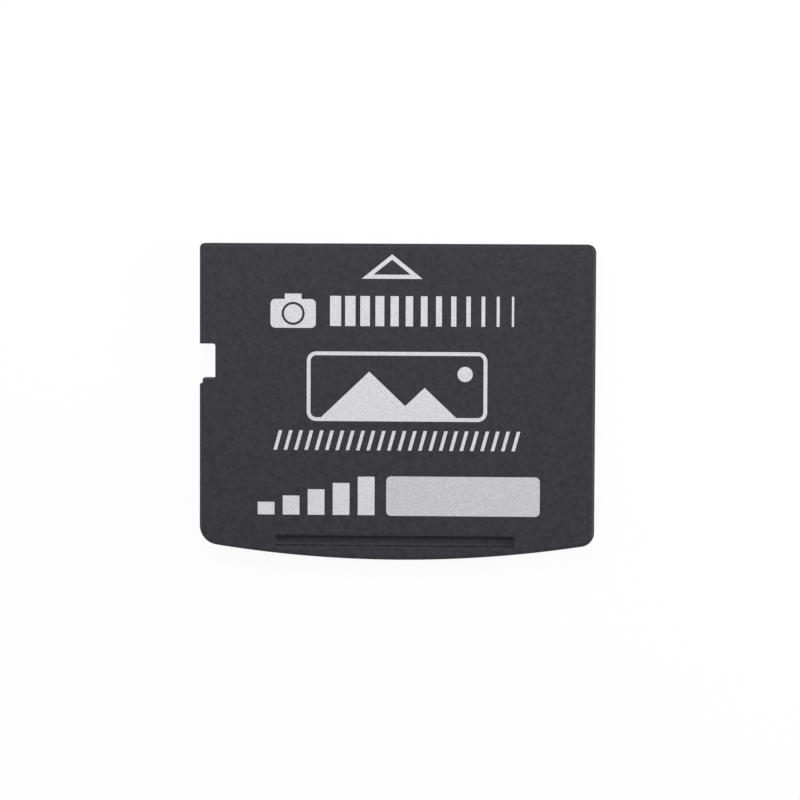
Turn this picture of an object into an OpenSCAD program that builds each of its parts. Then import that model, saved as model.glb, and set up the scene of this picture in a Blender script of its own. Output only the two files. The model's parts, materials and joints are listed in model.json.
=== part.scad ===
// Picture memory card: two welded covers round a sealed memory module.
// It lies on its rear face at z = 0, label side up, with the leading edge towards +Y.
// The origin is the middle of the rear face.

/* [Card] */
// Width of the card, across the way it slides in
card_w = 25; // [24:0.1:28]
// Length of the card, from the leading edge to the crown of the grip end
card_l = 20; // [19.8:0.1:24]
// Thickness of the card, without the print
card_t = 1.78; // [1.7:0.02:2.4]
// Radius of the curved grip end
end_r = 75; // [50:1:120]
// Radius of the left corner at the leading edge
lead_left_r = 0.3; // [0.3:0.05:1]
// Radius of the right corner at the leading edge
lead_right_r = 0.5; // [0.3:0.05:1]
// Radius of the left corner at the grip end
grip_left_r = 1.25; // [0.6:0.05:1.6]
// Radius of the right corner at the grip end
grip_right_r = 0.9; // [0.6:0.05:1.6]
// Rounding of the edge round the label side
label_edge_r = 0.24; // [0.1:0.02:0.28]
// Rounding of the edge round the rear side
rear_edge_r = 0.16; // [0.08:0.02:0.26]

/* [Latch notch] */
// Distance from the leading edge to the notch
notch_from_lead = 6.35; // [5:0.05:9]
// Length of the notch along the card's side
notch_l = 2.2; // [1.6:0.05:3]
// Depth of the notch
notch_depth = 1; // [0.6:0.05:1.1]
// Radius of the notch's inner corners
notch_corner_r = 0.14; // [0.08:0.02:0.3]
// Length of the shallow step below the notch
step_l = 0.35; // [0.2:0.05:0.8]
// Depth of the shallow step below the notch
step_depth = 0.2; // [0.1:0.05:0.4]

/* [Fingernail groove] */
// Length of the groove across the card
groove_w = 15.1; // [10:0.1:18]
// Width of the groove
groove_l = 0.66; // [0.5:0.02:0.8]
// Depth of the groove
groove_depth = 0.36; // [0.15:0.01:0.45]
// Distance from the crown of the grip end to the groove
groove_from_crown = 0.84; // [0.7:0.02:1]
// Radius of the groove's corners as seen from above
groove_corner_r = 0.2; // [0.1:0.01:0.24]

/* [Covers] */
// Height of the seam between the covers
seam_z = 0.86; // [0.8:0.02:1]
// Height of the shadow line at the seam
seam_line_h = 0.05; // [0.03:0.01:0.1]
// Depth of the shadow line at the seam
seam_line_depth = 0.05; // [0.03:0.01:0.1]
// Thickness of the rear cover's floor
rear_wall = 0.32; // [0.25:0.01:0.4]
// Distance from the card's edge to the weld tongue
tongue_inset = 0.25; // [0.2:0.01:0.28]
// Width of the weld tongue
tongue_w = 0.3; // [0.2:0.01:0.32]
// Height of the weld tongue above the seam
tongue_h = 0.25; // [0.15:0.01:0.3]
// Clearance on each side of the weld tongue and of each locating pin
weld_gap = 0.03; // [0.02:0.005:0.05]
// Diameter of the locating pins
pin_d = 0.6; // [0.4:0.05:0.7]
// Height of the locating pins above the seam
pin_h = 0.4; // [0.2:0.02:0.45]
// Distance from the card's side to the middle of a locating pin
pin_inset = 1.25; // [1.2:0.01:1.3]
// Distance from the leading edge to the first pair of locating pins
pin_from_lead = 1.9; // [1.5:0.05:4]
// Distance between the two pairs of locating pins
pin_spacing = 14.6; // [10:0.1:15]

/* [Memory module] */
// Width of the module
module_w = 21; // [20.6:0.1:21.1]
// Length of the module
module_l = 16.8; // [14:0.1:16.9]
// Distance from the leading edge to the module
module_from_lead = 1.05; // [0.95:0.05:1.1]
// Clearance round the module in the covers
module_gap = 0.05; // [0.02:0.01:0.08]
// Thickness of the module's board
board_t = 0.21; // [0.15:0.01:0.26]
// Thickness of the moulded cap over the dies
cap_t = 0.7; // [0.6:0.01:0.72]
// Thickness of the film that bonds the module to the front cover
bond_t = 0.05; // [0.03:0.01:0.08]
// Distance from the module's edge to the bond film
bond_margin = 1.2; // [0.5:0.1:3]

/* [Memory dies] */
// Width of a memory die
die_w = 12.6; // [8:0.1:14]
// Length of a memory die
die_l = 11.2; // [8:0.1:13]
// Thickness of a memory die
die_t = 0.15; // [0.1:0.01:0.2]
// Thickness of the film under each memory die
die_film_t = 0.02; // [0.02:0.005:0.04]
// Sideways step from the lower die to the upper one
die_step = 0.7; // [0.4:0.1:1.2]

/* [Bond wires] */
// Number of wires on each memory die
wire_count = 10; // [4:1:12]
// Distance from one wire to the next
wire_pitch = 0.8; // [0.4:0.05:1]
// Thickness of a wire
wire_t = 0.03; // [0.02:0.005:0.04]
// Distance from the die's edge to a wire's foot on the die
wire_foot_inset = 0.2; // [0.1:0.02:0.3]
// Distance from the die's edge to a wire's foot on the board
wire_reach = 0.6; // [0.5:0.05:1]
// Height of a wire's loop above its die
wire_rise = 0.1; // [0.06:0.01:0.15]

/* [Contacts] */
// Number of contacts
contact_count = 18; // [14:1:18]
// Distance from one contact to the next
contact_pitch = 1.1; // [1:0.02:1.12]
// Width of a contact
contact_w = 0.82; // [0.6:0.02:0.9]
// Length of a contact
contact_l = 3.6; // [3:0.1:5]
// Thickness of a contact
contact_t = 0.03; // [0.02:0.005:0.05]
// Distance from the leading edge to the contacts
contact_from_lead = 1.75; // [1.7:0.05:2.2]
// Clearance between the contacts and the edge of their window
window_margin = 0.28; // [0.2:0.02:0.3]
// Bevel at the mouth of the contact window
window_bevel = 0.14; // [0.05:0.01:0.2]

/* [Print] */
// Thickness of the ink
ink_t = 0.016; // [0.01:0.002:0.04]
// Width of the insertion arrow
arrow_w = 3.84; // [2:0.02:6]
// Length of the insertion arrow
arrow_l = 1.54; // [1:0.02:1.8]
// Width of the insertion arrow's line
arrow_line = 0.26; // [0.15:0.01:0.3]
// Distance from the leading edge to the tip of the arrow
arrow_from_lead = 0.66; // [0.5:0.02:0.7]
// Sideways place of the arrow
arrow_x = -0.33; // [-1:0.01:1]
// Distance from the leading edge to the middle of the upper row
upper_row_from_lead = 4.24; // [4.1:0.02:4.4]
// Sideways place of the upper row
upper_row_x = -0.32; // [-1:0.01:1]
// Gap between the camera sign and the bars
upper_row_gap = 0.9; // [0.5:0.05:1.5]
// Width of the camera sign
camera_w = 2.86; // [2.4:0.02:3.2]
// Length of the camera sign
camera_l = 2.16; // [1.9:0.02:2.3]
// Width of the bump on top of the camera sign
camera_bump_w = 1.06; // [0.8:0.02:1.4]
// Length of the bump on top of the camera sign
camera_bump_l = 0.34; // [0.2:0.02:0.5]
// Corner radius of the camera sign
camera_corner_r = 0.3; // [0.1:0.02:0.4]
// Diameter of the lens in the camera sign
camera_lens_d = 1.16; // [0.8:0.02:1.2]
// Width of the bare ring round that lens
camera_ring = 0.15; // [0.1:0.01:0.2]
// Width of the field of bars
bars_w = 11.6; // [9:0.1:12]
// Length of the bars
bars_l = 1.9; // [1:0.02:2.1]
// Number of bars
bars_count = 13; // [6:1:14]
// Width of the first bar
first_bar_w = 0.7; // [0.5:0.02:0.74]
// Width of the last bar
last_bar_w = 0.14; // [0.1:0.01:0.4]
// Distance from the leading edge to the middle of the landscape sign
landscape_from_lead = 9; // [8.8:0.02:9.1]
// Width of the landscape sign
landscape_w = 11.4; // [10:0.1:14]
// Length of the landscape sign
landscape_l = 4.4; // [4:0.05:4.6]
// Width of the landscape sign's frame line
landscape_line = 0.24; // [0.15:0.01:0.4]
// Corner radius of the landscape sign
landscape_r = 0.6; // [0.45:0.05:1]
// Height of the tall peak above the frame
tall_peak_l = 2.9; // [2:0.05:3]
// Height of the low peak above the frame
low_peak_l = 1.9; // [1.2:0.05:2.2]
// Distance from the tall peak to the low one
peak_spacing = 3.5; // [2.5:0.05:4.5]
// Half the foot of a peak for each unit of its height
peak_spread = 1.05; // [0.8:0.05:1.2]
// Distance from the frame's outer edges to the middle of the sun
sun_from_corner = 1.4; // [1.2:0.05:1.6]
// Diameter of the sun
sun_d = 0.96; // [0.6:0.02:1.2]
// Distance from the leading edge to the middle of the hatched band
hatch_from_lead = 12.42; // [12.3:0.02:12.6]
// Width of the hatched band
hatch_w = 15.6; // [12:0.1:17]
// Length of the hatched band
hatch_l = 1.24; // [0.8:0.02:1.3]
// Number of strokes in the hatched band
hatch_count = 24; // [12:1:26]
// Width of a stroke in the hatched band
hatch_line = 0.22; // [0.12:0.01:0.3]
// Sideways lean of a stroke from its foot to its head
hatch_slant = 0.34; // [0:0.02:0.6]
// Distance from the leading edge to the middle of the lower row
lower_row_from_lead = 15.93; // [15.8:0.02:16.1]
// Sideways place of the lower row
lower_row_x = 0.13; // [-0.5:0.01:0.5]
// Gap between the level blocks and the write-on panel
lower_row_gap = 0.74; // [0.5:0.02:1.2]
// Width of the row of level blocks
levels_w = 7.4; // [6:0.1:7.6]
// Number of level blocks
level_count = 5; // [3:1:6]
// Width of a level block
level_block_w = 1.06; // [0.6:0.02:1.14]
// Length of the lowest level block
low_level_l = 0.8; // [0.4:0.05:1.5]
// Length of the highest level block
high_level_l = 2.44; // [1.6:0.02:2.6]
// Width of the write-on panel
panel_w = 9.7; // [6:0.1:10]
// Length of the write-on panel
panel_l = 2.5; // [1.6:0.05:2.6]
// Corner radius of the write-on panel
panel_r = 0.3; // [0.1:0.02:0.6]

/* [Hidden] */
$fn = 96;
over = 0.5;
arc_overlap = 0.01;
edge_crease = 0.008;

lead_y = card_l / 2;
crown_y = -card_l / 2;
side_x = card_w / 2;
end_centre_y = crown_y + end_r;
notch_top_y = lead_y - notch_from_lead;
notch_foot_y = notch_top_y - notch_l;

board_z = rear_wall;
cap_z = board_z + board_t;
bond_z = cap_z + cap_t;
ceiling_z = bond_z + bond_t;
module_y = lead_y - module_from_lead - module_l / 2;

window_w = (contact_count - 1) * contact_pitch + contact_w + 2 * window_margin;
window_l = contact_l + 2 * window_margin;
contact_y = lead_y - contact_from_lead - contact_l / 2;

plastic = "#3a393f";
ink = "#c6c5cb";
gold = "#d9b45a";

function contact_name(i) = str("contact_", i < 10 ? "0" : "", i);

function to_micron(v) = round(v * 1000) / 1000;

// Centre of the rounding where the side at x = side * side_x runs into the curved end.
// It stands arc_overlap too far out, so that the two arcs cross at a clear angle.
function grip_centre(side, r) =
    let (x = side * (side_x - r))
    [x, to_micron(end_centre_y - sqrt(pow(end_r - r + arc_overlap, 2) - x * x))];

// Angle of that centre as seen from the centre of the curved end
function grip_angle(side, r) =
    let (c = grip_centre(side, r))
    atan2(c[1] - end_centre_y, c[0]);

function turned(angle, length) = length * [cos(angle), sin(angle)];

// What a rounding of radius r takes off a corner, with its centre at the origin.
// The two edges of the corner face along the angles from and to.
module corner_waste(r, from, to) {
    reach = 2 * r;
    difference() {
        polygon([[0, 0], turned(from, reach), turned(from, reach) + turned(to, reach), turned(to, reach)]);
        circle(r);
    }
}

// A rectangle from its lower left corner to its upper right one
module plan_box(low, high) {
    translate(low) square(high - low);
}

module rounded_box(w, l, r) {
    difference() {
        square([w, l], center = true);
        for (sx = [-1, 1], sy = [-1, 1])
            translate([sx * (w / 2 - r), sy * (l / 2 - r)])
                corner_waste(r, sx > 0 ? 0 : 180, 90 * sy);
    }
}

// The notch and its step as seen from above, grown by inset on every side
module notch_plan(inset) {
    outside = -side_x - 2;
    inner_x = -side_x + notch_depth + inset;
    corner_r = notch_corner_r + inset;
    difference() {
        plan_box([outside, notch_foot_y - inset], [inner_x, notch_top_y + inset]);
        translate([inner_x - corner_r, notch_top_y + inset - corner_r]) corner_waste(corner_r, 0, 90);
        translate([inner_x - corner_r, notch_foot_y - inset + corner_r]) corner_waste(corner_r, 0, -90);
    }
    plan_box([outside, notch_foot_y - step_l - inset], [-side_x + step_depth + inset, notch_foot_y]);
}

// The card as seen from above, with its whole outline moved in by inset
module card_plan(inset = 0) {
    half_w = side_x - inset;
    difference() {
        intersection() {
            plan_box([-half_w, crown_y], [half_w, lead_y - inset]);
            translate([0, end_centre_y]) circle(end_r - inset, $fn = 720);
        }
        lead_corner(-1, lead_left_r, inset);
        lead_corner(1, lead_right_r, inset);
        grip_corner(-1, grip_left_r, inset);
        grip_corner(1, grip_right_r, inset);
        notch_plan(inset);
    }
}

module lead_corner(side, r, inset) {
    if (r > inset)
        translate([side * (side_x - r), lead_y - r])
            corner_waste(r - inset, side > 0 ? 0 : 180, 90);
}

module grip_corner(side, r, inset) {
    if (r > inset)
        translate(grip_centre(side, r))
            corner_waste(r - inset, side > 0 ? 0 : 180, grip_angle(side, r));
}

// What a rounding of radius r takes off an edge, in section: x outwards, y upwards.
// The rounding starts a hair outside both faces, so that it crosses them at a clear angle.
module edge_waste(r) {
    difference() {
        square(r + over);
        circle(r);
    }
}

// Straight stretch of edge that faces along angle, starting at from
module straight_edge(r, from, angle, length) {
    translate([from[0], from[1], edge_crease - r])
        rotate([90, 0, angle])
            translate([edge_crease - r, 0, 0])
                linear_extrude(length) edge_waste(r);
}

// Stretch of edge round a corner of radius corner_r
module turned_edge(r, centre, corner_r, from, sweep) {
    translate([centre[0], centre[1], edge_crease - r])
        rotate([0, 0, from])
            rotate_extrude(angle = sweep, $fn = 360)
                translate([corner_r + edge_crease - r, 0]) edge_waste(r);
}

// Everything that a rounding of radius r takes off the card's edge, below a face at z = 0
module rounding_waste(r) {
    left = grip_centre(-1, grip_left_r);
    right = grip_centre(1, grip_right_r);
    left_angle = grip_angle(-1, grip_left_r);
    right_angle = grip_angle(1, grip_right_r);
    past_corner = 1;
    lead_left = [-side_x + lead_left_r, lead_y - lead_left_r];
    lead_right = [side_x - lead_right_r, lead_y - lead_right_r];
    straight_edge(r, [side_x, lead_right[1]], 0, lead_right[1] - right[1]);
    straight_edge(r, [lead_left[0], lead_y], 90, lead_right[0] - lead_left[0]);
    straight_edge(r, [-side_x, left[1]], 180, lead_left[1] - left[1]);
    turned_edge(r, lead_left, lead_left_r, 90, 90);
    turned_edge(r, lead_right, lead_right_r, 0, 90);
    turned_edge(r, left, grip_left_r, 180, 180 + left_angle);
    turned_edge(r, right, grip_right_r, right_angle, -right_angle);
    turned_edge(r, [0, end_centre_y], end_r, left_angle - past_corner, right_angle - left_angle + 2 * past_corner);
}

// Band of the card's plan between two distances from its edge
module plan_ring(outer, inner) {
    difference() {
        card_plan(outer);
        card_plan(inner);
    }
}

module module_plan(grow = 0) {
    translate([0, module_y])
        square([module_w + 2 * grow, module_l + 2 * grow], center = true);
}

module at_pins() {
    for (side = [-1, 1], row = [0, 1])
        translate([side * (side_x - pin_inset), lead_y - pin_from_lead - row * pin_spacing])
            children();
}

module fingernail_groove() {
    translate([0, crown_y + groove_from_crown + groove_l / 2, card_t - groove_depth])
        linear_extrude(groove_depth + over)
            rounded_box(groove_w, groove_l, groove_corner_r);
}

module front_cover() {
    color(plastic)
        difference() {
            translate([0, 0, seam_z]) linear_extrude(card_t - seam_z) card_plan();
            translate([0, 0, card_t]) rounding_waste(label_edge_r);
            fingernail_groove();
            translate([0, 0, seam_z - over])
                linear_extrude(ceiling_z - seam_z + over) module_plan(module_gap);
            translate([0, 0, seam_z - over])
                linear_extrude(over + tongue_h + weld_gap)
                    plan_ring(tongue_inset - weld_gap, tongue_inset + tongue_w + weld_gap);
            at_pins() translate([0, 0, seam_z - over]) cylinder(h = over + pin_h + weld_gap, d = pin_d + 2 * weld_gap);
        }
}

module rear_cover() {
    color(plastic)
        difference() {
            union() {
                linear_extrude(seam_z - seam_line_h) card_plan();
                linear_extrude(seam_z) card_plan(seam_line_depth);
                linear_extrude(seam_z + tongue_h) plan_ring(tongue_inset, tongue_inset + tongue_w);
                at_pins() translate([0, 0, rear_wall]) cylinder(h = seam_z - rear_wall + pin_h, d = pin_d);
            }
            mirror([0, 0, 1]) rounding_waste(rear_edge_r);
            translate([0, 0, rear_wall]) linear_extrude(card_t) module_plan(module_gap);
            contact_window();
        }
}

// Opening in the floor over the contacts, with a bevel where a socket's springs slide in and out
module contact_window() {
    translate([-window_w / 2, contact_y, 0])
        rotate([90, 0, 90])
            linear_extrude(window_w)
                polygon([
                    [-window_l / 2 - window_bevel - over, -over],
                    [-window_l / 2, window_bevel],
                    [-window_l / 2, rear_wall + over],
                    [window_l / 2, rear_wall + over],
                    [window_l / 2, window_bevel],
                    [window_l / 2 + window_bevel + over, -over]
                ]);
}

module module_board() {
    color("#1f4a35")
        translate([0, 0, board_z]) linear_extrude(board_t) module_plan();
}

module contact(i) {
    color(gold)
        translate([(i - (contact_count + 1) / 2) * contact_pitch, contact_y, board_z - contact_t])
            linear_extrude(contact_t) rounded_box(contact_w, contact_l, contact_w / 8);
}

// Plan of a die, with its corner pads stepped sideways from the layer below
module die_plan(layer) {
    translate([(layer - 0.5) * die_step, module_y])
        square([die_w, die_l], center = true);
}

function film_z(layer) = cap_z + layer * (die_film_t + die_t);

module die_film(layer) {
    color("#c9b48a")
        translate([0, 0, film_z(layer)]) linear_extrude(die_film_t) die_plan(layer);
}

module memory_die(layer) {
    color("#6b6f78")
        translate([0, 0, film_z(layer) + die_film_t]) linear_extrude(die_t) die_plan(layer);
}

// A wire seen from the side: up from its die, out over the die's edge and down to the board.
// The die's edge is at x = 0 and its free side along +X, or along -X for side = -1.
module wire_profile(side, die_top_z) {
    foot_x = -wire_foot_inset;
    knee_x = wire_reach / 3;
    half_t = wire_t / 2;
    loop_z = die_top_z + wire_rise;
    upper = [[foot_x - half_t, die_top_z], [foot_x - half_t, loop_z], [knee_x, loop_z], [wire_reach + half_t, cap_z]];
    lower = [
        [wire_reach - half_t, cap_z],
        [knee_x - half_t, loop_z - wire_t],
        [foot_x + half_t, loop_z - wire_t],
        [foot_x + half_t, die_top_z]
    ];
    polygon([for (p = concat(upper, lower)) [side * p[0], p[1]]]);
}

// The row of wires on the free edge of a die: the left one below, the right one above
module bond_wires(layer) {
    side = layer == 0 ? -1 : 1;
    first_y = module_y - (wire_count - 1) / 2 * wire_pitch;
    color(gold)
        for (i = [0 : wire_count - 1])
            translate([side * (die_w + die_step) / 2, first_y + i * wire_pitch + wire_t / 2, 0])
                rotate([90, 0, 0])
                    linear_extrude(wire_t) wire_profile(side, film_z(layer + 1));
}

// The cap is cast over the dies and their wires, so its hollow has their exact shape
module mould_cap() {
    color("#17181a")
        difference() {
            translate([0, 0, cap_z]) linear_extrude(cap_t) module_plan();
            for (layer = [0, 1]) {
                translate([0, 0, film_z(layer)])
                    linear_extrude(die_film_t + die_t) die_plan(layer);
                bond_wires(layer);
            }
        }
}

module bond_film() {
    color("#b8b4a6")
        translate([0, 0, bond_z]) linear_extrude(bond_t) module_plan(-bond_margin);
}

// A layer of ink on the label side, with its middle at x and a distance from the leading edge
module print_at(x, from_lead) {
    color(ink)
        translate([x, lead_y - from_lead, card_t])
            linear_extrude(ink_t) children();
}

// Hollow triangle that points the way the card slides in, with a line of even width
module print_arrow() {
    half = arrow_w / 2;
    inner_r = half * arrow_l / (half + norm([half, arrow_l]));
    middle = [0, inner_r - arrow_l];
    outer = [[-half, -arrow_l], [half, -arrow_l], [0, 0]];
    print_at(arrow_x, arrow_from_lead)
        difference() {
            polygon(outer);
            polygon([for (p = outer) middle + (1 - arrow_line / inner_r) * (p - middle)]);
        }
}

upper_row_w = camera_w + upper_row_gap + bars_w;
lower_row_w = levels_w + lower_row_gap + panel_w;

module print_camera() {
    body_l = camera_l - camera_bump_l;
    print_at(upper_row_x - (upper_row_w - camera_w) / 2, upper_row_from_lead)
        difference() {
            union() {
                translate([0, -camera_bump_l / 2]) rounded_box(camera_w, body_l, camera_corner_r);
                translate([0, camera_l / 2 - camera_bump_l])
                    square([camera_bump_w, 2 * camera_bump_l], center = true);
            }
            translate([0, -camera_bump_l / 2])
                difference() {
                    circle(d = camera_lens_d + 2 * camera_ring);
                    circle(d = camera_lens_d);
                }
        }
}

// Upright bars that grow thinner from left to right
module print_bars() {
    pitch = (bars_w - last_bar_w) / (bars_count - 1);
    print_at(upper_row_x + (upper_row_w - bars_w) / 2, upper_row_from_lead)
        for (i = [0 : bars_count - 1])
            translate([i * pitch - bars_w / 2, -bars_l / 2])
                square([first_bar_w + (last_bar_w - first_bar_w) * i / (bars_count - 1), bars_l]);
}

module peak(height) {
    polygon([[-height * peak_spread, 0], [height * peak_spread, 0], [0, height]]);
}

// Two peaks and a sun in a frame
module print_landscape() {
    inner_w = landscape_w - 2 * landscape_line;
    inner_l = landscape_l - 2 * landscape_line;
    inner_r = landscape_r - landscape_line;
    print_at(0, landscape_from_lead) {
        difference() {
            rounded_box(landscape_w, landscape_l, landscape_r);
            difference() {
                rounded_box(inner_w, inner_l, inner_r);
                translate([-peak_spacing / 2, -inner_l / 2]) peak(tall_peak_l);
                translate([peak_spacing / 2, -inner_l / 2]) peak(low_peak_l);
            }
        }
        translate([landscape_w / 2 - sun_from_corner, landscape_l / 2 - sun_from_corner]) circle(d = sun_d);
    }
}

// Even slanting strokes
module print_hatch() {
    pitch = (hatch_w - hatch_line - hatch_slant) / (hatch_count - 1);
    print_at(0, hatch_from_lead)
        for (i = [0 : hatch_count - 1])
            translate([i * pitch - hatch_w / 2, -hatch_l / 2])
                polygon([[0, 0], [hatch_line, 0], [hatch_line + hatch_slant, hatch_l], [hatch_slant, hatch_l]]);
}

// Blocks that rise from left to right
module print_levels() {
    pitch = (levels_w - level_block_w) / (level_count - 1);
    print_at(lower_row_x - (lower_row_w - levels_w) / 2, lower_row_from_lead)
        for (i = [0 : level_count - 1])
            translate([i * pitch - levels_w / 2, -high_level_l / 2])
                square([level_block_w, low_level_l + (high_level_l - low_level_l) * i / (level_count - 1)]);
}

module print_panel() {
    print_at(lower_row_x + (lower_row_w - panel_w) / 2, lower_row_from_lead)
        rounded_box(panel_w, panel_l, panel_r);
}

front_cover();
rear_cover();
module_board();
for (i = [1 : contact_count])
    contact(i);
mould_cap();
die_film(0);  // die_film_lower
memory_die(0);  // memory_die_lower
die_film(1);  // die_film_upper
memory_die(1);  // memory_die_upper
bond_wires(0);  // bond_wires_lower
bond_wires(1);  // bond_wires_upper
bond_film();
print_arrow();
print_camera();
print_bars();
print_landscape();
print_hatch();
print_levels();
print_panel();
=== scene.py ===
# %% [markdown]
# # A camera memory card in Blender
#
# The card is a thin black case, 25 mm wide and 20 mm long, welded from two moulded covers. It carries
# silver print on its label side and a row of gold contacts on its rear. A finished engineering model of
# it comes in as the frame, and this lesson gives it its looks. The covers and the contacts are modelled
# again with clean faces and soft edges. The other parts keep their engineering shape and get a finish.
# Everything is in metres, with the rear face on the floor at z = 0 and the leading edge towards +Y.

# %% Load the frame
import json
import math

import bmesh
import bpy
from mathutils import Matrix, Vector


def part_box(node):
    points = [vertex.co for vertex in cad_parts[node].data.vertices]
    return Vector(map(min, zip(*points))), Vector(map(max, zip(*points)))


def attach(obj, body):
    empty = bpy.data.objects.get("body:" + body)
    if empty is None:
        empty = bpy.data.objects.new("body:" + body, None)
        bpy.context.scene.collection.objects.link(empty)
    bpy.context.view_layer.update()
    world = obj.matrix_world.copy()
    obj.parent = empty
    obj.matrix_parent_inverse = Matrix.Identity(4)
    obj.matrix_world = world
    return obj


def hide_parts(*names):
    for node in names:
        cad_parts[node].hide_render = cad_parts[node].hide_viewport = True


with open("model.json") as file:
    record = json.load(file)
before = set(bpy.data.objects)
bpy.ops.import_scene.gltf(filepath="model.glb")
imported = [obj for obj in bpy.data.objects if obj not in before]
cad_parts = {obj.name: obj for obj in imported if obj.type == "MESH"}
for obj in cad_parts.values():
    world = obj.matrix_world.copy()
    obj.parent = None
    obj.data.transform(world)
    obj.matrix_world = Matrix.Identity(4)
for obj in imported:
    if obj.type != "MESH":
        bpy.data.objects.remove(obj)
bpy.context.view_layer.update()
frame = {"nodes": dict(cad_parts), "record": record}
nodes = frame["nodes"]
MM = 0.001
print("nodes in the frame:", len(nodes))

# %% [markdown]
# ## Sizes that the pieces share
#
# Each size is taken from the frame's own boxes where one shows it, so that the new pieces stay where the
# engineering model is. What a box can't show, such as a corner radius, is a named value here.

# %% Read the card's main sizes from the frame
front_low, front_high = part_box("front_cover")
half_w = front_high.x
lead_y = front_high.y
crown_y = front_low.y
top_z = front_high.z
seam_z = front_low.z
print("card, mm:", [round(v / MM, 2) for v in (2 * half_w, lead_y - crown_y, top_z)])

# %% Name the sizes that the boxes don't show
end_r = 75 * MM
lead_left_r = 0.3 * MM
lead_right_r = 0.5 * MM
grip_left_r = 1.25 * MM
grip_right_r = 0.9 * MM
label_edge_r = 0.24 * MM
rear_edge_r = 0.16 * MM

notch_top = lead_y - 6.35 * MM
notch_foot = notch_top - 2.2 * MM
notch_depth = 1.0 * MM
notch_r = 0.14 * MM
step_l = 0.35 * MM
step_depth = 0.2 * MM
print("the notch, mm:", [round(v / MM, 2) for v in (notch_top - notch_foot, notch_depth)])

# %% [markdown]
# ## The outline
#
# Both covers have one outline: straight sides, a gently curved grip end, four rounded corners and a latch
# notch with a small step. A curve object could be filled instead, but then its vertices fall where the
# curve puts them. Here one vertex draws the path: it is spun for each arc and pushed out for each straight
# line. Every outline then has the same number of vertices, whatever its inset, and two of them can be
# bridged with one quad for each edge.
#
# Smooth shading turns each vertex the way that the faces round it point on average. Beside a rounding, a
# long flat face would take up some of its lean and look dented. So a long side has a vertex held close to
# each of its ends. Then the lean stays in the short piece between the two, and the side is shaded flat.

# %% Draw a path with one vertex
hold = 0.05 * MM


def spin_round(bm, vertex, centre, degrees, steps):
    """Draws an arc round a centre and returns its last vertex."""
    turned = bmesh.ops.spin(bm, geom=[vertex], cent=centre, axis=(0, 0, 1),
                            angle=math.radians(degrees), steps=steps, use_duplicate=False)
    return next(g for g in turned["geom_last"] if isinstance(g, bmesh.types.BMVert))


def line_to(bm, vertex, x, y):
    """Draws a straight edge and returns its far vertex."""
    tip = bmesh.ops.extrude_vert_indiv(bm, verts=[vertex])["verts"][0]
    tip.co = (x, y, vertex.co.z)
    return tip


def side_to(bm, vertex, x, y):
    """Draws a long straight side, with a vertex held close to each end."""
    start = vertex.co.copy()
    end = Vector((x, y, start.z))
    short = (end - start).normalized() * hold
    vertex = line_to(bm, vertex, *(start + short).xy)
    vertex = line_to(bm, vertex, *(end - short).xy)
    return line_to(bm, vertex, x, y)


# %% Find where the sides run into the curved end
end_centre = Vector((0, crown_y + end_r, 0))


def grip_centre(side, r):
    """The centre of a grip corner's arc, which touches the side and the curved end."""
    x = side * (half_w - r)
    return Vector((x, end_centre.y - math.sqrt((end_r - r) ** 2 - x * x), 0))


def degrees_of(centre):
    """The direction from the curved end's centre to a corner's centre."""
    away = centre - end_centre
    return math.degrees(math.atan2(away.y, away.x))


grip_left = grip_centre(-1, grip_left_r)
grip_right = grip_centre(1, grip_right_r)
left_degrees = degrees_of(grip_left)
right_degrees = degrees_of(grip_right)
print("the curved end spans", round(right_degrees - left_degrees, 2), "degrees")

# %% [markdown]
# The path is drawn in three stretches, and each hands on the vertex that it ends at. The sides and the
# notch can be moved in by different amounts, because the case's long rounding stops at the notch, whose
# own edges are nearly sharp.

# %% Trace the right side and the leading edge
least_r = 0.02 * MM
corner_steps = 6


def lead_corner(side, r, inset):
    """The centre of a leading corner's arc. Its radius shrinks as the outline moves in."""
    kept = max(r - inset, least_r)
    return side * (half_w - inset - kept), lead_y - inset - kept


def lead_path(bm, v, inset):
    z = v.co.z
    right_x, right_y = lead_corner(1, lead_right_r, inset)
    left_x, left_y = lead_corner(-1, lead_left_r, inset)
    v = side_to(bm, v, half_w - inset, right_y)
    v = spin_round(bm, v, (right_x, right_y, z), 90, corner_steps)
    v = side_to(bm, v, left_x, lead_y - inset)
    return spin_round(bm, v, (left_x, left_y, z), 90, corner_steps)


# %% Trace the latch notch
least_step = 0.005 * MM
notch_steps = 5


def notch_path(bm, v, inset, notch_inset):
    z = v.co.z
    side_x = inset - half_w
    step_x = max(step_depth + notch_inset, inset + least_step) - half_w
    wall_x = notch_depth + notch_inset - half_w
    top_y = notch_top + notch_inset
    foot_y = notch_foot - notch_inset
    turn = notch_r + notch_inset
    v = side_to(bm, v, side_x, top_y)
    v = line_to(bm, v, wall_x - turn, top_y)
    v = spin_round(bm, v, (wall_x - turn, top_y - turn, z), -90, notch_steps)
    v = side_to(bm, v, wall_x, foot_y + turn)
    v = spin_round(bm, v, (wall_x - turn, foot_y + turn, z), -90, notch_steps)
    v = line_to(bm, v, step_x, foot_y)
    v = line_to(bm, v, step_x, foot_y - step_l)
    return line_to(bm, v, side_x, foot_y - step_l)


# %% Trace the grip end and close the outline
grip_steps = 8
end_steps = 44
same_place = 0.001 * MM


def grip_path(bm, v, inset):
    v = side_to(bm, v, inset - half_w, grip_left.y)
    v = spin_round(bm, v, grip_left, 180 + left_degrees, grip_steps)
    v = spin_round(bm, v, end_centre, right_degrees - left_degrees, end_steps)
    return spin_round(bm, v, grip_right, -right_degrees, grip_steps)


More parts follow.
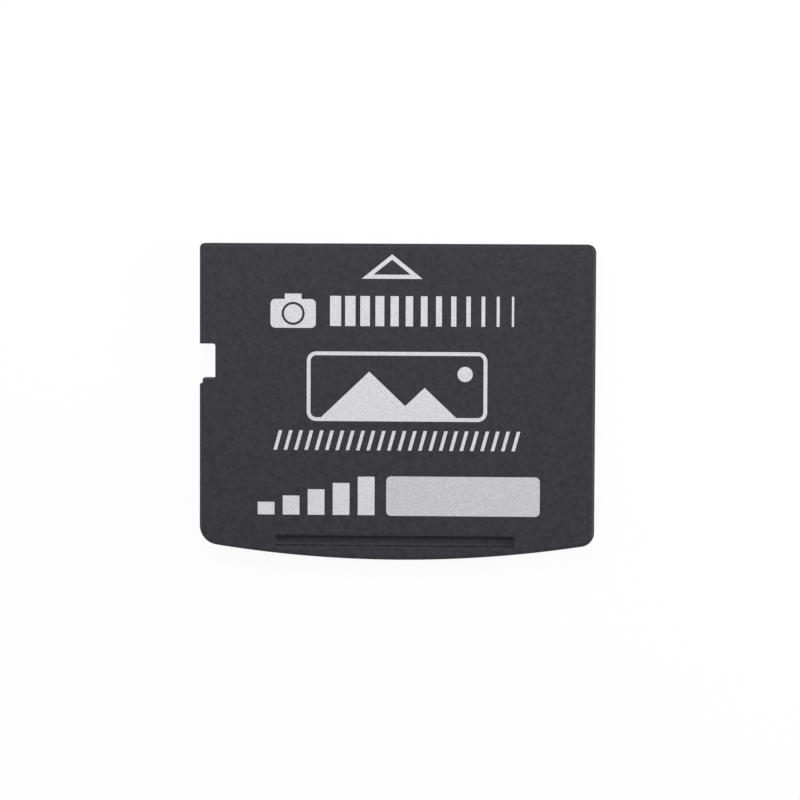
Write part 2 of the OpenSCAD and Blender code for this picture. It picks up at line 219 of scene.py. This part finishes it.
def outline(bm, z, inset=0.0, notch_inset=None):
    """Draws the outline at height z and returns its edges."""
    before = set(bm.edges)
    first = bmesh.ops.create_vert(bm, co=(half_w - inset, grip_right.y, z))["vert"][0]
    v = lead_path(bm, first, inset)
    v = notch_path(bm, v, inset, inset if notch_inset is None else notch_inset)
    v = grip_path(bm, v, inset)
    bmesh.ops.remove_doubles(bm, verts=[first, v], dist=same_place)
    return [e for e in bm.edges if e not in before]


trial = bmesh.new()
print("edges in a full outline:", len(outline(trial, 0.0)))
print("edges in one moved in:", len(outline(trial, 0.0, 0.5 * MM)))
trial.free()

# %% [markdown]
# ## Walls from rungs
#
# A wall is a stack of outlines, each bridged to the one before, like rungs. A bevel would round the case's
# edge in one step, but the small step in the notch is narrower than the rounding, and a bevel shrinks
# everywhere to fit its narrowest place. So the rounding has six rungs of its own, and a holding rung on
# either side of them keeps the wall and the face flat. A Weighted Normal modifier does that for larger
# things without more faces. On faces as small as these, measured in metres, it does next to nothing.

# %% Bridge one rung to the next
clear = 5 * MM


def bridge_and_lower(bm, rim, rung):
    """Bridges a rung that was drawn clear above its place, and then lowers it there. When two loops are
    closer than a few millimetres, bridge_loops may pair them the wrong way round."""
    bmesh.ops.bridge_loops(bm, edges=[*rim, *rung])
    bmesh.ops.translate(bm, verts=list({v for e in rung for v in e.verts}), vec=(0, 0, -clear))


def climb(bm, rim, z, inset=0.0, notch_inset=None):
    """Adds a rung at height z and returns its edges, which are the wall's new rim."""
    rung = outline(bm, z + clear, inset, notch_inset)
    bridge_and_lower(bm, rim, rung)
    return rung


# %% Round an edge with rungs
notch_edge_r = 0.03 * MM
rungs = 6


def fall_back(r, rise):
    """How far a rounding of radius r has moved in, at a height above its start."""
    reached = min(max(rise, 0.0), r)
    return r - math.sqrt(r * r - reached * reached)


def round_over(bm, rim, z, r, up):
    """Runs a wall into a rounding that ends at height z. It rises with up = 1 and drops with -1."""
    rim = climb(bm, rim, z - up * (r + hold))
    rim = climb(bm, rim, z - up * r)
    for rung in range(1, rungs + 1):
        rise = r * math.sin(math.radians(90 * rung / rungs))
        inset = fall_back(r, rise)
        notch_inset = fall_back(notch_edge_r, rise - (r - notch_edge_r))
        rim = climb(bm, rim, z + up * (rise - r), inset, notch_inset)
    return climb(bm, rim, z, r + hold, notch_edge_r + hold)


half_way = fall_back(label_edge_r, label_edge_r / 2)
print("half-way up, the label side's rounding has moved in by", round(half_way / MM, 3), "mm")

# %% [markdown]
# ## Pockets
#
# A pocket is made from rungs too: rounded rectangles, one for each change in its wall, from the mouth to
# the floor. A boolean modifier could cut it out of a block, but it leaves long triangles in the wall, and
# they spoil the shading of a soft edge. The flat face round the mouth has a hole in it. A face can't have
# one, so triangle_fill fills the space between the edge loops and leaves out the loops inside.

# %% Draw a flat face
pocket_corner_steps = 6
disc_steps = 24


def rectangle(bm, z, low, high, r=0.0):
    """A face at height z with rounded corners."""
    made = bmesh.ops.create_grid(bm, x_segments=1, y_segments=1, size=0.5)["verts"]
    bmesh.ops.scale(bm, verts=made, vec=(high[0] - low[0], high[1] - low[1], 1))
    bmesh.ops.translate(bm, verts=made, vec=((low[0] + high[0]) / 2, (low[1] + high[1]) / 2, z))
    if r:
        made = bmesh.ops.bevel(bm, geom=made, offset=r, offset_type="OFFSET", affect="VERTICES",
                               segments=pocket_corner_steps, profile=0.5, clamp_overlap=True,
                               material=-1)["verts"]
    return made[0].link_faces[0]


def disc(bm, z, x, y, radius):
    """A round face at height z."""
    made = bmesh.ops.create_circle(bm, cap_ends=True, segments=disc_steps, radius=radius)["verts"]
    bmesh.ops.translate(bm, verts=made, vec=(x, y, z))
    return made[0].link_faces[0]


# %% Stack rectangles into a pocket
def grown(low, high, by):
    """A rectangle's two corners, moved out on all sides."""
    return (low[0] - by, low[1] - by), (high[0] + by, high[1] + by)


def stack(bm, levels):
    """Bridges rectangles from the mouth down. Returns the mouth's edges and the last face."""
    face = rectangle(bm, *levels[0])
    mouth = list(face.edges)
    for z, *shape in levels[1:]:
        rim = list(face.edges)
        bmesh.ops.delete(bm, geom=[face], context="FACES_ONLY")
        face = rectangle(bm, z + clear, *shape)
        bridge_and_lower(bm, rim, face.edges)
    return mouth, face


# %% Sink a face, fill round holes and bevel edges
def sink(bm, face, depth):
    """Moves a face along z, with walls round it."""
    made = bmesh.ops.extrude_face_region(bm, geom=[face])["geom"]
    bmesh.ops.delete(bm, geom=[face], context="FACES_ONLY")
    moved = next(g for g in made if isinstance(g, bmesh.types.BMFace))
    bmesh.ops.translate(bm, verts=moved.verts, vec=(0, 0, depth))


def fill_between(bm, *loops):
    """Fills a flat face with holes, from the loops of its rim and its holes."""
    edges = [e for loop in loops for e in loop]
    bmesh.ops.triangle_fill(bm, edges=edges, use_beauty=True, normal=(0, 0, 1))


def bevel(bm, edges, width, segments):
    bmesh.ops.bevel(bm, geom=list(edges), offset=width, offset_type="OFFSET", affect="EDGES",
                    segments=segments, profile=0.5, clamp_overlap=True, material=-1)


# %% Turn a finished bmesh into a piece of the card
sharp_angle = math.radians(40)


def make_piece(bm, name, replaced):
    """Makes the mesh and its object, hangs it on the root body and hides the part that it replaces."""
    bmesh.ops.recalc_face_normals(bm, faces=bm.faces)
    mesh = bpy.data.meshes.new(name)
    bm.to_mesh(mesh)
    bm.free()
    mesh.shade_smooth()
    mesh.set_sharp_from_angle(angle=sharp_angle)
    piece = bpy.data.objects.new(name, mesh)
    bpy.context.scene.collection.objects.link(piece)
    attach(piece, "root")
    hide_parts(replaced)
    print(name, "has", len(mesh.polygons), "faces")
    return piece


# %% [markdown]
# ## The seam
#
# The covers are welded where they meet. A low tongue runs right round the rear cover and stands in a groove
# in the front cover, and four pins keep the two in line until the weld has set. Nobody sees them in a
# closed card, but each cover is a piece of its own, and these are its main features on the bench. The
# tongue could be made as a ring and joined to the cover, but that leaves one closed body inside another.
# Four more rungs on the cover's own wall give the same ring in one skin. Inside the tongue the meeting face
# is flat, with holes for the module's bay and the pins.

# %% Name the sizes of the seam
tongue_inset = 0.25 * MM
tongue_w = 0.3 * MM
tongue_h = 0.25 * MM
weld_gap = 0.03 * MM
pin_d = 0.6 * MM
pin_h = 0.4 * MM
pin_x = half_w - 1.25 * MM
pin_rows = (lead_y - 1.9 * MM, lead_y - 16.5 * MM)
print("the pins stand at x and y, mm:", [round(v / MM, 2) for v in (pin_x, *pin_rows)])

# %% Measure the module's bay
module_gap = 0.05 * MM
board_low, board_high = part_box("module_board")
bay_low, bay_high = grown(board_low, board_high, module_gap)
ceiling_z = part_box("bond_film")[1].z
print("the module's bay, mm:", [round((high - low) / MM, 2) for low, high in zip(bay_low, bay_high)])


# %% Build the meeting face of a cover
def step_ring(bm, rim, outer, inner, height):
    """A ring that stands up from the seam, or is let into it, between two insets."""
    rim = climb(bm, rim, seam_z, outer)
    rim = climb(bm, rim, seam_z + height, outer)
    rim = climb(bm, rim, seam_z + height, inner)
    return climb(bm, rim, seam_z, inner)


def meeting_face(bm, rim, bay_mouth, pin_radius):
    """Fills the seam round the bay and the four pins, and returns the pins' faces."""
    pins = [disc(bm, seam_z, side * pin_x, y, pin_radius) for side in (-1, 1) for y in pin_rows]
    fill_between(bm, rim, bay_mouth, *[pin.edges for pin in pins])
    return pins


# %% [markdown]
# ## The front cover
#
# The label-side cover is a shallow moulded tray, upside down. Its outer edge has a full rounding. A
# fingernail groove is sunk across the grip end. Its mouth is slightly rounded and its floor runs into the
# walls with a large radius, so that the mould lets go of it. The upper wall leans more than the others,
# which spreads the dark shade under it. A bevel of the finished groove could round it too, but a stack of
# levels gives each wall a lean of its own.

# %% Raise the front cover's wall and round its edge
front = bmesh.new()
front_seam = outline(front, seam_z)
label_rim = round_over(front, front_seam, top_z, label_edge_r, 1)
print("the label side has", len(label_rim), "edges")

# %% Name the sizes of the fingernail groove
groove_low = (-7.75 * MM, crown_y + 0.87 * MM)
groove_high = (7.46 * MM, crown_y + 1.5 * MM)
groove_corner_r = 0.2 * MM
groove_floor_z = top_z - 0.36 * MM
groove_mouth_r = 0.07 * MM
groove_floor_r = 0.17 * MM
upper_mouth_w = 0.18 * MM
upper_floor_w = 0.26 * MM
print("the groove, mm:", [round((high - low) / MM, 2) for low, high in zip(groove_low, groove_high)])


# %% Draw one level of the groove
def groove_level(z, by):
    """A level at height z, grown by an amount. The upper wall leans more than the other three."""
    low, high = grown(groove_low, groove_high, by)
    lean = upper_mouth_w / groove_mouth_r if by > 0 else upper_floor_w / groove_floor_r
    return z, low, (high[0], groove_high[1] + by * lean), groove_corner_r + by


def quarter(r, steps):
    """Points of a quarter circle: how far along it has come and how far it has turned away."""
    for step in range(steps + 1):
        angle = math.radians(90 * step / steps)
        yield r * math.sin(angle), r * (1 - math.cos(angle))


# %% Sink the groove into the label side
mouth_start = top_z - groove_mouth_r
floor_start = groove_floor_z + groove_floor_r
mouth_levels = [groove_level(mouth_start + rise, by) for rise, by in quarter(groove_mouth_r, steps=3)]
floor_levels = [groove_level(floor_start - drop, -by) for drop, by in quarter(groove_floor_r, steps=6)]
mouth_z, mouth_low, mouth_high, mouth_corner_r = mouth_levels[-1]
mouth_levels.append((mouth_z, *grown(mouth_low, mouth_high, hold), mouth_corner_r + hold))
groove_levels = mouth_levels[::-1] + floor_levels
groove_mouth = stack(front, groove_levels)[0]
fill_between(front, label_rim, groove_mouth)
print("the groove has", len(groove_levels), "levels")

# %% Let in the weld groove, the pin holes and the module's bay
front_rim = step_ring(front, front_seam, tongue_inset - weld_gap, tongue_inset + tongue_w + weld_gap,
                      tongue_h + weld_gap)
front_mouth = stack(front, [(seam_z, bay_low, bay_high), (ceiling_z, bay_low, bay_high)])[0]
pin_holes = meeting_face(front, front_rim, front_mouth, pin_d / 2 + weld_gap)
for hole in pin_holes:
    sink(front, hole, pin_h + weld_gap)
front_shell = make_piece(front, "front_shell", "front_cover")

# %% [markdown]
# ## The rear cover
#
# The contact-side cover is the other tray. Just under the seam it steps in by a twentieth of a millimetre,
# which leaves the fine shadow line that a welded case shows all round. A dark line in the material could
# stand for it, but a real step stays dark from every side. The cover's floor has a long window over the
# contacts, with bevelled long edges, because a socket's springs slide in and out over them.

# %% Raise the rear cover's wall with its shadow line and tongue
seam_line = 0.05 * MM
rear = bmesh.new()
waist = outline(rear, seam_z - seam_line)
rear_outer = round_over(rear, waist, 0.0, rear_edge_r, -1)
rear_rim = climb(rear, waist, seam_z - seam_line, seam_line)
rear_rim = climb(rear, rear_rim, seam_z, seam_line)
rear_rim = step_ring(rear, rear_rim, tongue_inset, tongue_inset + tongue_w, tongue_h)
print("the rear cover has", len(rear.faces), "faces so far")

# %% Measure the contact window
window_margin = 0.28 * MM
window_bevel = 0.14 * MM
window_r = 0.06 * MM
first_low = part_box("contact_01")[0]
last_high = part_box("contact_18")[1]
window_low, window_high = grown(first_low, last_high, window_margin)
wide_low = (window_low[0], window_low[1] - window_bevel)
wide_high = (window_high[0], window_high[1] + window_bevel)
print("the window, mm:", [round((high - low) / MM, 2) for low, high in zip(window_low, window_high)])

# %% Sink the bay, cut the window and raise the pins
bay_mouth, bay_floor = stack(rear, [(seam_z, bay_low, bay_high), (board_low.z, bay_low, bay_high)])
window_mouth, window_top = stack(rear, [(0.0, wide_low, wide_high, window_r),
                                        (window_bevel, window_low, window_high, window_r),
                                        (board_low.z, window_low, window_high, window_r)])
bay_edges = list(bay_floor.edges)
window_edges = list(window_top.edges)
bmesh.ops.delete(rear, geom=[bay_floor, window_top], context="FACES_ONLY")
fill_between(rear, bay_edges, window_edges)
fill_between(rear, rear_outer, window_mouth)
pins = meeting_face(rear, rear_rim, bay_mouth, pin_d / 2)
for pin in pins:
    sink(rear, pin, pin_h)
rear_shell = make_piece(rear, "rear_shell", "rear_cover")

# %% [markdown]
# ## The contacts
#
# Each contact is a pad of plated copper. The plating leaves no sharp edge, so a cube is squashed to the
# pad's size, its four upright edges are rounded and its outer rim is softened. A Bevel modifier could do
# it, but it has one width, and the upright edges need eight times the width of the rim. Only the side that
# faces down and out of the window shows. It is inset once, which gives it a holding line and keeps it flat,
# as a mirror shows the smallest dent.

# %% Model one pad for each contact
pad_corner_r = 0.1 * MM
pad_edge_r = 0.012 * MM
same_z = 0.00001 * MM


def contact_pad(name):
    low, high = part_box(name)
    size = high - low
    bm = bmesh.new()
    bmesh.ops.create_cube(bm, size=1.0)
    bmesh.ops.scale(bm, verts=bm.verts, vec=size)
    bmesh.ops.translate(bm, verts=bm.verts, vec=(low + high) / 2)
    upright = [e for e in bm.edges if abs(e.verts[0].co.z - e.verts[1].co.z) > size.z / 2]
    bevel(bm, upright, pad_corner_r, segments=4)
    outer = [e for e in bm.edges if all(abs(v.co.z - low.z) < same_z for v in e.verts)]
    bevel(bm, outer, pad_edge_r, segments=3)
    flat = [f for f in bm.faces if all(abs(v.co.z - low.z) < same_z for v in f.verts)]
    bmesh.ops.inset_individual(bm, faces=flat, thickness=hold / 2, use_even_offset=True)
    return make_piece(bm, name.replace("contact", "pad"), name)


pads = [contact_pad(name) for name in sorted(nodes) if name.startswith("contact_")]

# %% [markdown]
# ## Node helpers for the finishes
#
# Every finish is built from nodes on the Principled shader. A noise varies its colour, its gloss and its
# relief. Patterns read Object coordinates, which stay with the piece, so a grain of a tenth of a millimetre
# is a texture scale of ten thousand. Values that are the same all over the surface are set on the shader's
# own sockets.

# %% Start a material
finishes = {}


def new_material(name, roughness, metallic=0.0, specular=0.5):
    """Files a new material under its name, and returns its node tree and its shader."""
    material = bpy.data.materials.new(name)
    material.use_nodes = True
    finishes[name] = material
    shader = material.node_tree.nodes["Principled BSDF"]
    shader.inputs["Roughness"].default_value = roughness
    shader.inputs["Metallic"].default_value = metallic
    shader.inputs["Specular IOR Level"].default_value = specular
    print("mixing", name)
    return material.node_tree, shader


# %% Make a noise
def noise(tree, grain, detail=2.0, stretch=(1, 1, 1)):
    """A noise whose blotches are about as wide as grain, in metres."""
    place = tree.nodes.new("ShaderNodeTexCoord")
    mapping = tree.nodes.new("ShaderNodeMapping")
    mapping.inputs["Scale"].default_value = [s / grain for s in stretch]
    texture = tree.nodes.new("ShaderNodeTexNoise")
    texture.inputs["Scale"].default_value = 1.0
    texture.inputs["Detail"].default_value = detail
    tree.links.new(place.outputs["Object"], mapping.inputs["Vector"])
    tree.links.new(mapping.outputs["Vector"], texture.inputs["Vector"])
    return texture.outputs["Fac"]


# %% Turn a noise into colour, gloss and relief
noise_low = 0.3
noise_high = 0.7


def add_colour(tree, shader, amount, dark, light, low=noise_low, high=noise_high):
    """Runs from dark to light as amount goes from low to high. A noise rarely leaves 0.3 to 0.7."""
    ramp = tree.nodes.new("ShaderNodeValToRGB")
    ramp.color_ramp.elements[0].position = low
    ramp.color_ramp.elements[0].color = (*dark, 1)
    ramp.color_ramp.elements[1].position = high
    ramp.color_ramp.elements[1].color = (*light, 1)
    tree.links.new(amount, ramp.inputs["Fac"])
    tree.links.new(ramp.outputs["Color"], shader.inputs["Base Color"])


def add_roughness(tree, shader, amount, low, high):
    """Lets a noise vary the roughness between two values."""
    mapped = tree.nodes.new("ShaderNodeMapRange")
    mapped.inputs["From Min"].default_value = noise_low
    mapped.inputs["From Max"].default_value = noise_high
    mapped.inputs["To Min"].default_value = low
    mapped.inputs["To Max"].default_value = high
    tree.links.new(amount, mapped.inputs["Value"])
    tree.links.new(mapped.outputs["Result"], shader.inputs["Roughness"])


def add_bump(tree, shader, amount, depth):
    """Raises the surface where a noise is high, by a depth in metres."""
    bump = tree.nodes.new("ShaderNodeBump")
    bump.inputs["Distance"].default_value = depth
    bump.inputs["Strength"].default_value = 1.0
    tree.links.new(amount, bump.inputs["Height"])
    tree.links.new(bump.outputs["Normal"], shader.inputs["Normal"])


# %% [markdown]
# ## Black moulded plastic
#
# The mould was spark-eroded, so the plastic has a fine even grain that scatters the light. Its black is
# not pure: it leans a little towards violet. The grain could be a picture of real plastic, but a noise has
# no seams and needs no unwrapping. A fine noise gives the grain, and a coarser one the slight mottling that
# the photograph shows from pixel to pixel.

# %% Mix the case plastic
tree, shader = new_material("case_plastic", roughness=0.62, specular=0.32)
mottle = noise(tree, grain=0.28 * MM, detail=3.0)
add_colour(tree, shader, mottle, dark=(0.0055, 0.0050, 0.0085), light=(0.0245, 0.0233, 0.0320))
add_roughness(tree, shader, mottle, 0.56, 0.7)
add_bump(tree, shader, noise(tree, grain=0.09 * MM), depth=0.006 * MM)

# %% [markdown]
# ## Silver ink
#
# The print is a thin layer of silver-grey ink, screened through a mesh. A metal shader would mirror the
# room, but the flakes in real ink lie in all directions and make it nearly matt, so this is a plain grey
# with little gloss. It lies on the plastic's grain and shows a fine speckle where the pigment is thinner.
# The small signs get a paler copy of the panel's ink, as painted light for the brighter light near the
# leading edge.

# %% Mix the inks
def ink(name, thin, full):
    tree, shader = new_material(name, roughness=0.55, specular=0.35)
    speckle = noise(tree, grain=0.11 * MM, detail=3.0)
    add_colour(tree, shader, speckle, thin, full, low=0.32, high=0.68)
    add_roughness(tree, shader, speckle, 0.5, 0.62)
    add_bump(tree, shader, noise(tree, grain=0.09 * MM), depth=0.004 * MM)


ink("silver_ink", thin=(0.44, 0.435, 0.465), full=(0.58, 0.575, 0.61))
# The paler ink is painted light: it stands in for the brighter light near the leading edge.
ink("painted_light_ink", thin=(0.53, 0.525, 0.555), full=(0.68, 0.675, 0.71))

# %% [markdown]
# ## Gold plating
#
# Hard gold over nickel has a satin shine. A yellow paint would look like paint, because the colour of a
# metal is in its reflection, so the shader is fully metallic. A noise that is stretched along the pad gives
# the faint brushed grain of the copper under it.

# %% Mix the gold
tree, shader = new_material("gold_plate", roughness=0.26, metallic=1.0)
brushed = noise(tree, grain=0.05 * MM, detail=4.0, stretch=(1, 0.12, 1))
add_colour(tree, shader, brushed, dark=(0.76, 0.51, 0.19), light=(0.88, 0.63, 0.28))
add_roughness(tree, shader, brushed, 0.2, 0.36)
add_bump(tree, shader, brushed, depth=0.0015 * MM)

# %% Mix the wire's gold
tree, shader = new_material("gold_wire", roughness=0.18, metallic=1.0)
drawn = noise(tree, grain=0.01 * MM, stretch=(0.1, 1, 1))
add_colour(tree, shader, drawn, dark=(0.84, 0.58, 0.22), light=(0.93, 0.69, 0.32))

# %% [markdown]
# ## The board, the resin and the dies
#
# The board shows in the contact window: dark green solder mask, a little glossy, over a woven laminate. It
# could be one glossy green, but a clear coat over a duller green has the depth of a real lacquer. The resin
# cap, the dies and the films lie inside the case, where nobody sees them unless the case is opened. They
# still get the finish of the real thing.

# %% Mix the board's solder mask
tree, shader = new_material("board_laminate", roughness=0.32)
shader.inputs["Coat Weight"].default_value = 0.4
shader.inputs["Coat Roughness"].default_value = 0.15
cloud = noise(tree, grain=0.5 * MM, detail=3.0)
add_colour(tree, shader, cloud, dark=(0.006, 0.026, 0.015), light=(0.010, 0.040, 0.024))
add_bump(tree, shader, noise(tree, grain=0.14 * MM, detail=1.0), depth=0.003 * MM)

# %% Mix the resin of the cap
tree, shader = new_material("moulding_resin", roughness=0.5)
filler = noise(tree, grain=0.05 * MM, detail=4.0)
add_colour(tree, shader, filler, (0.010, 0.010, 0.011), (0.022, 0.022, 0.023), low=0.35, high=0.65)
add_bump(tree, shader, filler, depth=0.002 * MM)

# %% Mix the ground silicon
tree, shader = new_material("silicon", roughness=0.22, metallic=0.6)
grinding = noise(tree, grain=0.03 * MM, detail=3.0, stretch=(1, 0.05, 1))
add_colour(tree, shader, grinding, dark=(0.13, 0.14, 0.17), light=(0.20, 0.21, 0.25))
add_roughness(tree, shader, grinding, 0.16, 0.3)


# %% Mix the two films
def film(name, dark, light):
    tree, shader = new_material(name, roughness=0.45)
    add_colour(tree, shader, noise(tree, grain=0.8 * MM), dark, light)


film("die_film", dark=(0.42, 0.33, 0.18), light=(0.52, 0.43, 0.26))
film("bond_film", dark=(0.40, 0.38, 0.32), light=(0.50, 0.48, 0.42))

# %% [markdown]
# ## Who wears what
#
# The pieces that were modelled here get their finish by name. Each engineering part names a material slot in
# the record, and the finishes have the slots' names, so a loop can dress all of them. Only the small signs
# differ from their slot, with the paler ink that paints the brighter light near the leading edge.

# %% Give every piece its finish
front_shell.data.materials.append(finishes["case_plastic"])
rear_shell.data.materials.append(finishes["case_plastic"])
for pad in pads:
    pad.data.materials.append(finishes["gold_plate"])

for part in frame["record"]["subparts"]:
    name = part["node"]
    small_sign = name.startswith("print_") and name != "print_panel"
    # The small signs take the paler ink, which paints brighter light on them.
    finish = finishes["painted_light_ink" if small_sign else part["material_slot"]]
    nodes[name].data.materials.clear()
    nodes[name].data.materials.append(finish)
print("finishes:", len(finishes), "on", len(nodes), "parts and", len(pads) + 2, "pieces")

# %% [markdown]
# ## Floor and light
#
# The photograph has a pure white background and soft, even light, a little stronger along the leading edge.
# Brighter lamps could whiten the floor, but they would bleach the card as well. So the floor has a white of
# its own for a camera above it, and only keeps a faint shadow. From below, and for every other ray, it is
# clear, so that the card's rear can be lit and looked at through it.

# %% Lay the floor
floor_size = 0.6
floor_drop = 0.01 * MM
floor_bm = bmesh.new()
bmesh.ops.create_grid(floor_bm, x_segments=1, y_segments=1, size=floor_size / 2)
bmesh.ops.translate(floor_bm, verts=floor_bm.verts, vec=(0, 0, -floor_drop))
floor_mesh = bpy.data.meshes.new("floor")
floor_bm.to_mesh(floor_mesh)
floor_bm.free()
floor = bpy.data.objects.new("floor", floor_mesh)
bpy.context.scene.collection.objects.link(floor)
print("the floor lies", floor_drop / MM, "mm under the card")

# %% Mix the floor's white
floor_grey = 0.9
own_white = 0.94
floor_material = bpy.data.materials.new("floor")
floor_material.use_nodes = True
floor.data.materials.append(floor_material)
tree = floor_material.node_tree
tree.nodes.clear()
shaded = tree.nodes.new("ShaderNodeBsdfDiffuse")
shaded.inputs["Color"].default_value = (floor_grey, floor_grey, floor_grey, 1)
white = tree.nodes.new("ShaderNodeEmission")
paper = tree.nodes.new("ShaderNodeMixShader")
paper.inputs["Fac"].default_value = own_white
tree.links.new(shaded.outputs[0], paper.inputs[1])
tree.links.new(white.outputs[0], paper.inputs[2])
print("a shadow can take away", round(100 * (1 - own_white)), "percent of the floor's white")

# %% Show the floor only to a camera above it
ray = tree.nodes.new("ShaderNodeLightPath")
facing = tree.nodes.new("ShaderNodeNewGeometry")
from_above = tree.nodes.new("ShaderNodeMath")
from_above.operation = "SUBTRACT"
from_above.use_clamp = True
tree.links.new(ray.outputs["Is Camera Ray"], from_above.inputs[0])
tree.links.new(facing.outputs["Backfacing"], from_above.inputs[1])
unseen = tree.nodes.new("ShaderNodeBsdfTransparent")
seen = tree.nodes.new("ShaderNodeMixShader")
tree.links.new(from_above.outputs[0], seen.inputs["Fac"])
tree.links.new(unseen.outputs[0], seen.inputs[1])
tree.links.new(paper.outputs[0], seen.inputs[2])
output = tree.nodes.new("ShaderNodeOutputMaterial")
tree.links.new(seen.outputs[0], output.inputs["Surface"])
print("nodes in the floor's material:", len(tree.nodes))

# %% [markdown]
# The world is white. The camera and mirrors see it at full strength, and it lights matt surfaces with about
# a third of that, from all sides. Four soft lamps add the rest. The key stands behind the leading edge, one
# stands on each side, and one is under the floor for the card's rear. Together they are about as strong as
# one white room, so a colour looks the way it is written. The gold already mirrors the white world. A lamp
# on top of that would burn it out, so the rear lamp lights it but isn't seen in it.

# %% Light the room
room_strength = 0.38


def room_light(strength):
    """A white world that is seen at full strength and lights matt surfaces at the given one."""
    world = bpy.data.worlds.new("room")
    bpy.context.scene.world = world
    world.use_nodes = True
    tree = world.node_tree
    background = tree.nodes["Background"]
    background.inputs["Color"].default_value = (1, 1, 1, 1)
    ray = tree.nodes.new("ShaderNodeLightPath")
    seen = ray.outputs["Is Camera Ray"]
    for kind in ("Is Glossy Ray", "Is Transmission Ray"):
        either = tree.nodes.new("ShaderNodeMath")
        either.operation = "MAXIMUM"
        tree.links.new(seen, either.inputs[0])
        tree.links.new(ray.outputs[kind], either.inputs[1])
        seen = either.outputs[0]
    level = tree.nodes.new("ShaderNodeMapRange")
    level.inputs["To Min"].default_value = strength
    level.inputs["To Max"].default_value = 1.0
    tree.links.new(seen, level.inputs["Value"])
    tree.links.new(level.outputs["Result"], background.inputs["Strength"])


room_light(room_strength)
print("matt surfaces get", round(100 * room_strength), "percent of the white world")


# %% Set up the lamps
def soft_lamp(name, place, size, power):
    """A round lamp that faces the middle of the card."""
    data = bpy.data.lights.new(name, "AREA")
    data.shape = "DISK"
    data.size = size
    data.energy = power
    lamp = bpy.data.objects.new(name, data)
    bpy.context.scene.collection.objects.link(lamp)
    lamp.location = place
    lamp.rotation_mode = "QUATERNION"
    lamp.rotation_quaternion = (-Vector(place)).to_track_quat("-Z", "Y")
    return lamp


key_lamp = soft_lamp("key", place=(-0.02, 0.055, 0.065), size=0.05, power=0.041)
right_lamp = soft_lamp("side", place=(0.12, 0.015, 0.05), size=0.05, power=0.13)
left_lamp = soft_lamp("left", place=(-0.15, -0.005, 0.03), size=0.05, power=0.045)
rear_lamp = soft_lamp("rear", place=(0.02, -0.04, -0.1), size=0.08, power=0.065)
rear_lamp.visible_glossy = False
for lamp in (key_lamp, right_lamp, left_lamp, rear_lamp):
    print("the", lamp.name, "lamp is", round(lamp.location.length / MM), "mm away")

# %% [markdown]
# ## The camera
#
# The photograph was taken from a fifth of a metre above the card, a little towards its leading edge and
# its right side, so both of these look a hair longer than the edges across from them. A camera straight
# above the middle would be simpler, but all the edges would then look alike. The camera's place and turn
# were fitted to the outline in the photograph.

# %% Place the camera
camera_place = (7.77 * MM, 11.99 * MM, 200 * MM)
camera_turn = (-3.404, 2.202, 0.239)
lens_mm = 141.71
sensor_mm = 36.0

camera_data = bpy.data.cameras.new("camera")
camera_data.lens = lens_mm
camera_data.sensor_width = sensor_mm
camera = bpy.data.objects.new("camera", camera_data)
bpy.context.scene.collection.objects.link(camera)
camera.location = camera_place
camera.rotation_euler = [math.radians(turn) for turn in camera_turn]
bpy.context.scene.camera = camera
bpy.context.scene.view_settings.view_transform = "Standard"
print("the picture is", round(math.degrees(camera_data.angle), 2), "degrees wide")
